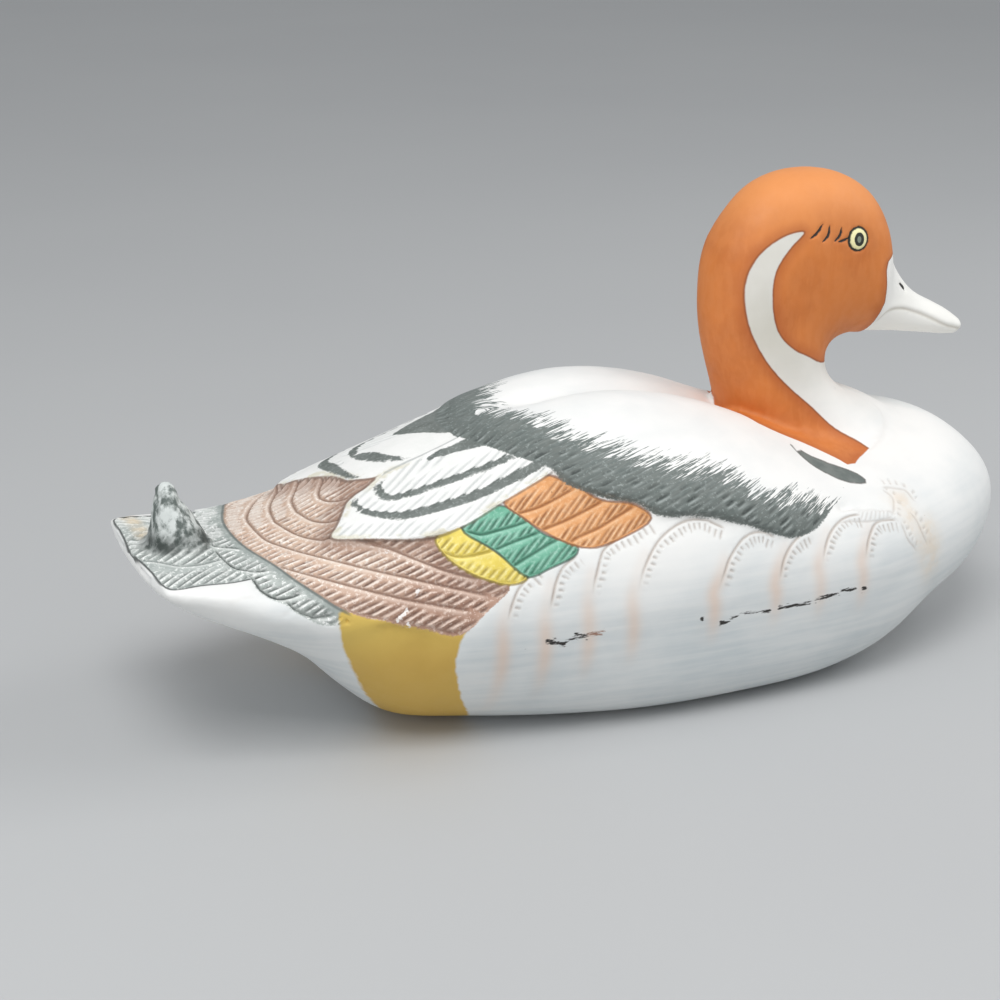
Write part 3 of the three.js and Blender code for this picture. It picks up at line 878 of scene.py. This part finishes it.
def refine_carved(piece, cuts):
    """Divides the faces that hold relief, a few millimetres round each line, so that fine cuts have room."""
    mesh = piece.data
    where = survey(mesh)
    reach = 6.5 + nearness(where.chart, [*SCALLOPS, *CHEST_MARKS, SHOULDER_LINE])
    for feathers in PLUMAGE.values():
        reach = np.maximum(reach, inside(where.chart, feathers.outline, 3))
    reach = np.minimum(reach, where.over)
    pupil = [EYE, (EYE[0] + 0.1, EYE[1])]
    reach = np.maximum(reach, 5.5 + nearness(where.profile, [*LASHES, NOSTRIL, pupil]))
    reach = np.where(where.x > -126, reach, np.maximum(reach, where.z - 64))
    reach = np.maximum(reach, 0.6 - np.abs(inside(where.profile, CRESCENT, 3)))
    reach = np.maximum(reach, 0.6 - np.abs(past_cheek(where)))
    reach = np.maximum(reach, 2.4 + nearness(where.profile, [MOUTH]))
    corners = read(mesh.loops, "vertex_index", 1, np.int32)[:, 0]
    starts = read(mesh.polygons, "loop_start", 1, np.int32)[:, 0]
    mesh.polygons.foreach_set("select", np.maximum.reduceat(reach[corners], starts) > -1.2)
    mesh.vertices.foreach_set("select", np.zeros(len(mesh.vertices), bool))
    mesh.edges.foreach_set("select", np.zeros(len(mesh.edges), bool))
    make_active(piece)
    bpy.ops.object.mode_set(mode="EDIT")
    bpy.ops.mesh.select_mode(type="FACE")
    bpy.ops.mesh.subdivide(number_cuts=cuts)
    bpy.ops.object.mode_set(mode="OBJECT")


def wing_valley(where):
    """How deep each place is in the valley between the folded wings, which runs out under the neck."""
    along = plateau(where.x, -42, -18, 88, 100) * step(where.z, 62, 70)
    return bump(where.y, 0, 5.5) * along * (1 - step(where.z, 82, 88) * step(where.x, 40, 50))


def cut_relief(piece, sizes):
    """Moves each vertex along its normal by the relief, sinks the valley between the wings, then thins the
    faces where the skin is plain."""
    mesh = piece.data
    where = survey(mesh)
    lift, notes = carved(where, sizes)
    lift += lump_curl(where, sizes.curl_lumps / MM)
    moved = read(mesh.vertices, "co", 3) + vertex_normals(mesh) * (lift * MM)[:, None]
    moved[:, 2] -= sizes.back_depth * wing_valley(where)
    mesh.vertices.foreach_set("co", moved.astype(np.float32).ravel())
    mesh.update()
    mesh.calc_loop_triangles()
    share = min(1, MOST_TRIANGLES / len(mesh.loop_triangles))
    edge = np.minimum(np.abs(notes["bill"]), np.abs(notes["crescent"]))
    kept = (notes["smear"] > 0.03) | (edge < 1.2) | (notes["mouth"] > 0.05)
    group = piece.vertex_groups.new(name="free_to_thin")
    group.add(np.flatnonzero(~kept).tolist(), 1.0, "REPLACE")
    apply_modifier(
        piece, "thin_plain_skin", "DECIMATE", ratio=share, vertex_group=group.name, vertex_group_factor=1,
        use_collapse_triangulate=True,
    )
    piece.vertex_groups.clear()
    bpy.ops.object.shade_smooth()


def note_paint(piece, sizes):
    """Keeps on each vertex what the paint needs: how far inside each colour it is, and how deep in a cut,
    which sets a dark wash and painted shade there.
    """
    for name, values in carved(survey(piece.data), sizes)[1].items():
        attribute = piece.data.attributes.new(name, "FLOAT", "POINT")
        attribute.data.foreach_set("value", values.astype(np.float32))


# The finish


class Tone:
    """A number, a place or a colour that nodes work out, and what can be made of it."""

    def __init__(self, socket):
        self.socket = socket
        self.tree = socket.id_data

    def worked(self, operation, *others):
        """The outcome of one maths node."""
        return add(self.tree, "ShaderNodeMath", dict(enumerate([self, *others])), operation=operation)

    def __add__(self, other):
        return self.worked("ADD", other)

    def __sub__(self, other):
        return self.worked("SUBTRACT", other)

    def __mul__(self, other):
        return self.worked("MULTIPLY", other)

    def __truediv__(self, other):
        return self.worked("DIVIDE", other)

    def parts(self):
        """The x, y and z of a place."""
        first = add(self.tree, "ShaderNodeSeparateXYZ", {0: self})
        return [Tone(socket) for socket in first.socket.node.outputs]

    def mapped(self, scale=(1, 1, 1), shift=(0, 0, 0)):
        """A place squeezed and then moved."""
        return add(self.tree, "ShaderNodeMapping", {"Vector": self, "Location": shift, "Scale": scale})

    def grain(self, scale, detail=3.0, rough=0.5):
        """A soft random pattern from 0 to 1, centred on a half, with so many patches to the metre."""
        inputs = {"Vector": self, "Scale": scale, "Detail": detail, "Roughness": rough}
        return add(self.tree, "ShaderNodeTexNoise", inputs)

    def ramp(self, low, high, to_low=0.0, to_high=1.0):
        """A number mapped smoothly from one range to another."""
        inputs = dict(enumerate([self, low, high, to_low, to_high]))
        return add(self.tree, "ShaderNodeMapRange", inputs, interpolation_type="SMOOTHSTEP")

    def swing(self, reach):
        """A pattern moved to swing that far both ways about 0."""
        return self.worked("MULTIPLY_ADD", 2 * reach, -reach)

    def seam(self, middle, half):
        """A soft line: 1 where the number is at the middle, and 0 from half away."""
        return (self - middle).worked("ABSOLUTE").ramp(half, 0.2 * half)


def feed(node, inputs):
    """Links each input of a node to a tone, or sets it to a number, a colour or a colour's hex code."""
    for key, value in inputs.items():
        if isinstance(value, Tone):
            node.id_data.links.new(value.socket, node.inputs[key])
        else:
            node.inputs[key].default_value = linear(value) if isinstance(value, str) else value


def add(tree, kind, inputs=None, output=0, **settings):
    """Adds a node with its settings and inputs, and gives one of its outputs."""
    made = tree.nodes.new(kind)
    for name, value in settings.items():
        setattr(made, name, value)
    feed(made, inputs or {})
    return Tone(made.outputs[output])


def blend(amount, under, over):
    """One colour laid over another, by an amount from 0 to 1."""
    return add(amount.tree, "ShaderNodeMix", {0: amount, 6: under, 7: over}, 2, data_type="RGBA")


def coat(under, paint, edge, ragged, soft=0.25):
    """Paint laid over what is under it, as far as an edge that a ragged pattern moves in and out."""
    return blend((edge + ragged).ramp(-soft, soft), under, paint)


def gather_marks(tree, piece):
    """What all the paints share: the numbers kept on the vertices, the place, and the random patterns."""
    kept = [attribute.name for attribute in piece.data.attributes if attribute.data_type == "FLOAT"]
    marks = SimpleNamespace()
    for name in kept:
        setattr(marks, name, add(tree, "ShaderNodeAttribute", output="Fac", attribute_name=name))
    place = marks.place = add(tree, "ShaderNodeTexCoord", output="Object")
    marks.x, marks.y, marks.z = place.parts()
    marks.up = (marks.z - marks.y.worked("ABSOLUTE")) * (1 / ROOT_2)
    stroke = add(tree, "ShaderNodeCombineXYZ", {0: marks.x * 0.075, 1: marks.flow * MM})
    marks.hairs = stroke.grain(1700, 2)
    marks.tufts = stroke.grain(420, 1)
    marks.fine = place.grain(1400).swing(0.5)
    marks.wobble = place.grain(420).swing(0.5)
    marks.clouds = place.grain(38, 4)
    marks.mottle = place.grain(170, 5, 0.62).ramp(0.35, 0.66)
    marks.speckle = place.grain(1000, 3, 0.6)
    marks.streaks = place.mapped((0.08, 0.08, 1)).grain(420)
    return marks


def bare_body(paints, marks):
    """Bare porcelain: a cool grey tint in clouds and streaks, painted shade that greys it low on the flank,
    and warm smears beside the flank feathers.
    """
    # Greyer towards the bottom as painted shade, plus a cool tint in random clouds and streaks
    cool_tint_and_shade = marks.z.ramp(0.07, 0.03, 0, 0.7) + marks.clouds.ramp(0.35, 0.7, 0, 0.3)
    cool_tint_and_shade = cool_tint_and_shade * marks.streaks.ramp(0.3, 0.7, 0.7, 1)
    body = blend(cool_tint_and_shade, paints.porcelain, paints.porcelain_cool)
    body = blend(marks.smear * marks.clouds.ramp(0.3, 0.65, 0.4, 0.6), body, paints.smear)
    body = blend(marks.stain * marks.mottle.ramp(0, 1, 0.3, 0.6), body, "#E2CFB6")
    return blend(marks.lines * 0.7, body, "#A39386")


def feather_paint(marks, base, thick, wash):
    """A thin wash, thick in patches, dark in the cuts as a wash and as painted shade, and pale on the ridges
    and lips as wear and as a painted highlight.
    """
    paint = blend(marks.mottle * 0.6, base, thick)
    # Pale on ridges and lips: partly wear and dry speckle, partly a painted highlight. Dark in cuts: partly
    # wash, partly painted shade
    wear_and_highlight = marks.lip * wash.ridges + marks.speckle.ramp(0.52, 0.66, 0, wash.dry)
    return blend(marks.wash * wash.cuts, blend(wear_and_highlight, paint, wash.ridge), wash.cut)


def paint_tail(body, paints, marks):
    """Grey tail feathers with a dark line round them, and the scalloped row over them."""
    feathers = feather_paint(marks, paints.tail, "#9AA29E", WASHES_AND_SHADING["fan"])
    body = coat(body, feathers, marks.fan, marks.fine * 0.6)
    stain = marks.y.ramp(0.005, 0.01) * marks.x.seam(-0.146, 0.004)
    body = blend(stain * marks.mottle.ramp(0, 1, 0.3, 0.8), body, "#D9C9AE")
    body = blend(marks.fan.seam(0.1, 0.5) * 0.85, body, "#2E3331")
    scales = feather_paint(marks, "#BFC5C0", "#959D99", WASHES_AND_SHADING["coverts"])
    body = coat(body, scales, marks.coverts, marks.fine)
    by_rump = marks.rump.ramp(-3.2, -1.4) * marks.coverts.ramp(-0.4, 0.2)
    return blend(by_rump * marks.mottle.ramp(0, 1, 0.5, 0.95), body, "#9BA39F")


def paint_curl(body, paints, marks):
    """The curled feather on the fan: grey mottled with white, and painted shade that darkens its foot."""
    lumps = marks.place.mapped((1, 1, 0.7)).grain(330, 4, 0.6).ramp(0.38, 0.6)
    curl = blend(lumps, "#5F6864", "#D6DBD8")
    # Painted shade: dark at the curl's foot, where it rises from the fan
    foot = marks.z.ramp(0.073, 0.067) * marks.mottle.ramp(0, 1, 0.5, 0.85)
    curl = blend(foot, curl, "#343B38")
    from_curl = marks.place.mapped((1, 1, 0), (-CURL[0] * MM, -CURL[1] * MM, 0))
    away = add(body.tree, "ShaderNodeVectorMath", {0: from_curl}, 1, operation="LENGTH")
    return blend(marks.z.ramp(0.0635, 0.0655) * away.ramp(0.013, 0.0095), body, curl)


def paint_vent(body, paints, marks):
    """The yellow patch under the rump, paler towards its top and darker in clouds."""
    vent = blend(marks.z.ramp(0.03, 0.052, 0, 0.7), paints.vent, "#EBCF6C")
    vent = blend(marks.clouds.ramp(0.35, 0.65, 0.2, 0.6), vent, "#BC9642")
    return coat(body, vent, marks.vent, marks.wobble * 1.2, 0.5)


def paint_rump(body, paints, marks):
    """The brown rump, paler towards the tail, with painted shade that deepens it low down and darkest beside
    the wing, under its edge.
    """
    pale = feather_paint(marks, paints.rump, "#C5A38E", WASHES_AND_SHADING["pale_rump"])
    deep = feather_paint(marks, "#BE9A87", paints.rump_dark, WASHES_AND_SHADING["shaded_deep_rump"])
    # Painted shade: deeper brown low on the rump and towards the front, darkest beside the wing under its
    # edge
    shade_by_wing = marks.tertials.worked("MAXIMUM", marks.yellow_bars).ramp(-7, -0.5)
    low = marks.up.ramp(0.022, 0.002, 0, 0.8) + marks.x.ramp(-0.1, -0.06, 0, 0.4) + shade_by_wing * 0.6
    paint = blend(shade_by_wing * 0.45, blend(low, pale, deep), "#8B7062")
    paint = blend((marks.chip + marks.fine * 1.6).ramp(-0.7, -0.4), paint, "#EFEAE6")
    body = coat(body, paint, marks.rump, marks.fine)
    shown = marks.tertials.worked("LESS_THAN", -0.3)
    crack = marks.rump.seam(-0.2, 0.8) * marks.coverts.ramp(-1.2, 0) * shown
    return blend(crack * 0.75, body, paints.tail_dark)


def paint_wing(body, paints, marks):
    """The coloured patch, then the white tertials with their grey stripes."""
    for name, thick in THICK_BARS.items():
        edge = getattr(marks, name)
        bars = feather_paint(marks, getattr(paints, name), thick, WASHES_AND_SHADING[name])
        body = coat(body, bars, edge, marks.fine)
        body = blend(edge.seam(-0.1, 0.6) * 0.8, body, WASHES_AND_SHADING[name].cut)
    white = feather_paint(marks, paints.porcelain, "#E9EAE6", WASHES_AND_SHADING["tertials"])
    shown = marks.band.ramp(0.3, -0.3)
    dirt = marks.tertials.seam(0.6, 1.6) * marks.mottle.ramp(0.3, 0.9, 0, 0.5) * shown
    body = coat(body, blend(dirt, white, "#CFC6A2"), marks.tertials, marks.fine * 0.5)
    # Painted shadow: a soft grey line along the near wing's edge, where it lies on the far wing
    body = blend(marks.near_wing.seam(-0.3, 0.7) * shown * 0.5, body, "#8A918F")
    # Painted shade: a dark brown line just outside the tertials, under their raised edge
    body = blend(marks.tertials.seam(-0.3, 0.6) * shown * 0.6, body, "#6B5A50")
    slate = blend(marks.mottle, paints.slate, "#666C68")
    # Darker slate in the cuts: partly thick paint and partly painted shade
    slate = blend(marks.wash * 0.7, slate, paints.slate_dark)
    slate = blend(marks.speckle.ramp(0.52, 0.68, 0, 0.5), slate, "#A3A9A6")
    return coat(body, slate, marks.stripes, marks.wash * 0.9 + marks.fine * 1.1 - 0.45, 0.3)


def paint_band(body, paints, marks):
    """The slate band: flat and dry along its top, where white shows between the hairs, and cut below."""
    slate = blend(marks.hairs.ramp(0.4, 0.6), paints.slate, "#69726F")
    slate = blend(marks.band_foot.ramp(11, 3) * 0.55, slate, paints.slate_dark)
    slate = blend(marks.speckle.ramp(0.55, 0.7, 0, 0.5), slate, "#A9B1AE")
    # Pale beside each cut, partly wear and partly a painted highlight; dark in the cuts, partly thick slate
    # and partly painted shade
    slate = blend(marks.lip * 0.6, slate, "#BAC2BF")
    slate = blend(marks.wash * 0.85, slate, "#2A312F")
    spikes = marks.hairs.ramp(0.36, 0.64).swing(4) + marks.tufts.ramp(0.36, 0.64).swing(1.8)
    cover = (marks.band_top + spikes).ramp(-0.5, 0.5)
    bare = marks.hairs.ramp(0.6, 0.66) * marks.band_top.ramp(8, 1) * 0.8
    edge = (marks.band_foot + marks.fine * 1.2).ramp(-0.3, 0.3)
    return blend((cover - cover * bare) * edge * marks.band.ramp(-5, -4.5), body, slate)


def paint_neck_leaf(body, paints, marks):
    """The slate leaf by the neck, with a dark line round it."""
    leaf = blend(marks.mottle, paints.slate, "#646C69")
    body = coat(body, leaf, marks.neck_leaf, marks.fine * 0.6)
    return blend(marks.neck_leaf.seam(0, 0.5) * 0.6, body, "#4A4540")


def paint_head(body, paints, marks):
    """Orange head and neck round the white crescent, and the cream bill."""
    orange = blend(marks.clouds.ramp(0.38, 0.66), paints.head, paints.head_dark)
    brushed = marks.place.mapped((1, 1, 0.4)).grain(420).ramp(0.4, 0.62)
    orange = blend(brushed * 0.2, orange, "#DE8D50")
    # Painted highlight: a paler orange sheen on the crown, where the light falls on the top of the head
    orange = blend(marks.z.ramp(0.132, 0.158) * 0.75, orange, "#EE9C5A")
    neck = marks.neck.worked("MINIMUM", marks.crescent * -1).worked("MINIMUM", marks.bill * -1)
    orange = blend(neck.ramp(4.5, 0.3) * 0.45, orange, "#AA5426")
    edge = marks.crescent.ramp(-0.9, -0.2).worked("MAXIMUM", marks.bill.ramp(-0.9, -0.2))
    orange = blend(edge * 0.65, orange, "#7E4423")
    tint = marks.crescent.ramp(-0.4, 0.1) * marks.clouds.ramp(0.3, 0.7, 0.5, 0.75)
    body = blend(tint * marks.z.ramp(0.07, 0.11), body, "#CAC5B6")
    body = blend(marks.bill.ramp(-0.5, 1) * marks.clouds.ramp(0.3, 0.7, 0.4, 0.9), body, paints.bill)
    body = coat(body, orange, neck, marks.wobble * 0.3)
    return blend(marks.mouth * 0.4, body, "#A89C86")


def paint_eye(body, paints, marks):
    """The painted eye: a dark ring, a pale yellow iris, and a dark ring round a grey pupil."""
    across, depth, rise = marks.place.mapped(shift=(-EYE[0] * MM, 0, -EYE[1] * MM)).parts()
    seen = depth.worked("ABSOLUTE").worked("GREATER_THAN", EYE_SIDE * MM)
    rings = (
        (1.08, 1.08, "#23261C"), (0.85, 0.87, paints.iris), (0.5, 0.58, "#262B22"), (0.2, 0.28, "#7F8878")
    )
    for wide, high, tone in rings:
        flat, tall = across / (wide * EYE_SIZE[0] * MM), rise / (high * EYE_SIZE[1] * MM)
        away = (flat * flat + tall * tall).worked("SQRT") + marks.speckle.swing(0.1)
        body = blend(away.ramp(1.06, 0.94) * seen, body, tone)
    return body


def paint_ink(body, paints, marks):
    """The lashes and nostrils in ink, then the scuffs and specks of use."""
    body = coat(body, paints.ink, marks.ink, marks.fine * 0.4, 0.15)
    broken = marks.place.mapped((0.2, 1, 1)).grain(1100, 3, 0.7).swing(1.5)
    body = coat(body, "#9A7664", marks.brown_scuff, broken + 0.3, 0.4)
    body = coat(body, paints.ink, marks.scuff, broken + 0.35, 0.2)
    return coat(body, "#8F8A84", marks.speck, 0.35)


COATS = (
    paint_tail, paint_curl, paint_vent, paint_rump, paint_wing, paint_band, paint_neck_leaf, paint_head,
    paint_eye, paint_ink
)


def finish_porcelain(piece, paints):
    """Hand-painted bisque porcelain: slip-cast, fired once without a glaze and painted with matte colours.

    The eye sees a chalky white body with a faint tooth and only a broad, weak shine, colours that lie thin
    on the high spots and dark in the cuts, and edges that follow a small brush.
    """
    material = bpy.data.materials.new("hand_painted_bisque_porcelain")
    material.use_nodes = True
    tree = material.node_tree
    marks = gather_marks(tree, piece)
    body = bare_body(paints, marks)
    for lay in COATS:
        body = lay(body, paints, marks)
    tooth = marks.place.grain(2600, 2) * 0.3 + marks.hairs * 0.12
    bumps = add(tree, "ShaderNodeBump", {"Strength": 0.12, "Distance": 0.3 * MM, "Height": tooth})
    rough = marks.mottle.ramp(0, 1, 0.55, 0.66)
    shader = tree.nodes["Principled BSDF"]
    feed(shader, {"Base Color": body, "Roughness": rough, "IOR": 1.5, "Normal": bumps})
    return material


class DECOY_OT_carve(bpy.types.Operator):
    """Rebuild the casting in even faces and cut its feathers, eyes and bill"""

    bl_idname = "decoy.carve"
    bl_label = "Carve the Casting"

    def execute(self, context):
        sizes = context.scene.decoy_carving
        blank = cast_blank(sizes)
        refine_carved(blank, 2)
        cut_relief(blank, sizes)
        note_paint(blank, sizes)
        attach(blank, "root")
        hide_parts(NODE)
        return {"FINISHED"}


class DECOY_OT_paint(bpy.types.Operator):
    """Brush the colours on the carved casting"""

    bl_idname = "decoy.paint"
    bl_label = "Paint the Decoy"

    def execute(self, context):
        piece = bpy.data.objects[PIECE]
        piece.data.materials.append(finish_porcelain(piece, context.scene.decoy_paints))
        return {"FINISHED"}


class DECOY_OT_stage(bpy.types.Operator):
    """Set out the floor, the soft lights and the camera"""

    bl_idname = "decoy.stage"
    bl_label = "Build the Stage"

    def execute(self, context):
        stage = context.scene.decoy_stage
        deselect_all()
        bpy.ops.mesh.primitive_plane_add(size=6, location=(0, 0, 0))
        floor = context.object
        floor.name = "studio_floor"
        floor.data.materials.append(studio_paper())
        soft_light("key_light", (-0.35, -0.5, 1.1), (0, 0, 0.05), 0.6, stage.key_power)
        soft_light("side_light", (0.8, -0.35, 0.8), (0, 0, 0.06), 0.7, stage.side_power)
        soft_light("tail_light", (-0.95, -0.4, 0.3), (-0.1, 0, 0.06), 0.6, stage.tail_power)
        world = bpy.data.worlds.new("studio_air")
        world.use_nodes = True
        feed(world.node_tree.nodes["Background"], {"Color": "#F1F4F7", "Strength": stage.sky})
        context.scene.world = world
        context.scene.view_settings.view_transform = "Standard"
        add_camera(context.scene, stage)
        return {"FINISHED"}


def studio_paper():
    """Seamless background paper: pulp-coloured and uncoated, so it is pale, even and without shine."""
    material = bpy.data.materials.new("uncoated_background_paper")
    material.use_nodes = True
    tree = material.node_tree
    tone = blend(add(tree, "ShaderNodeTexCoord", output="Object").grain(3), "#BFC0C0", "#B8B9BA")
    feed(tree.nodes["Principled BSDF"], {"Base Color": tone, "Roughness": 0.9})
    return material


def soft_light(name, place, target, size, power):
    """A square soft light that faces its target."""
    deselect_all()
    bpy.ops.object.light_add(type="AREA", location=place)
    light = bpy.context.object
    light.name = name
    light.data.size = size
    light.data.energy = power
    light.rotation_euler = (Vector(target) - Vector(place)).to_track_quat("-Z", "Y").to_euler()


def add_camera(scene, stage):
    """The camera at the photograph's angle."""
    turn, tilt = stage.azimuth, stage.elevation
    back = Vector((math.sin(turn) * math.cos(tilt), -math.cos(turn) * math.cos(tilt), math.sin(tilt)))
    deselect_all()
    bpy.ops.object.camera_add(location=Vector(stage.target) + back * stage.distance)
    camera = bpy.context.object
    camera.rotation_euler = back.to_track_quat("Z", "Y").to_euler()
    camera.data.lens = stage.lens
    camera.data.sensor_width = 36
    camera.data.clip_start = 0.01
    camera.data.clip_end = 50
    scene.camera = camera


class DECOY_PT_sidebar(bpy.types.Panel):
    """The decoy's sizes, colours and steps"""

    bl_idname = "DECOY_PT_sidebar"
    bl_label = "Porcelain Duck Decoy"
    bl_space_type = "VIEW_3D"
    bl_region_type = "UI"
    bl_category = "Decoy"

    def draw(self, context):
        scene = context.scene
        for settings, step_name in (
            (scene.decoy_carving, "decoy.carve"),
            (scene.decoy_paints, "decoy.paint"),
            (scene.decoy_stage, "decoy.stage"),
        ):
            box = self.layout.box()
            for name in settings.__annotations__:
                box.prop(settings, name)
            box.operator(step_name)


CLASSES = (
    DecoyCarving, DecoyPaints, DecoyStage, DECOY_OT_carve, DECOY_OT_paint, DECOY_OT_stage, DECOY_PT_sidebar
)


def register():
    for kind in CLASSES:
        bpy.utils.register_class(kind)
    bpy.types.Scene.decoy_carving = bpy.props.PointerProperty(type=DecoyCarving)
    bpy.types.Scene.decoy_paints = bpy.props.PointerProperty(type=DecoyPaints)
    bpy.types.Scene.decoy_stage = bpy.props.PointerProperty(type=DecoyStage)


def unregister():
    del bpy.types.Scene.decoy_stage
    del bpy.types.Scene.decoy_paints
    del bpy.types.Scene.decoy_carving
    for kind in reversed(CLASSES):
        bpy.utils.unregister_class(kind)


def main():
    register()
    bpy.ops.decoy.carve()
    bpy.ops.decoy.paint()
    bpy.ops.decoy.stage()


if __name__ == "__main__":
    main()
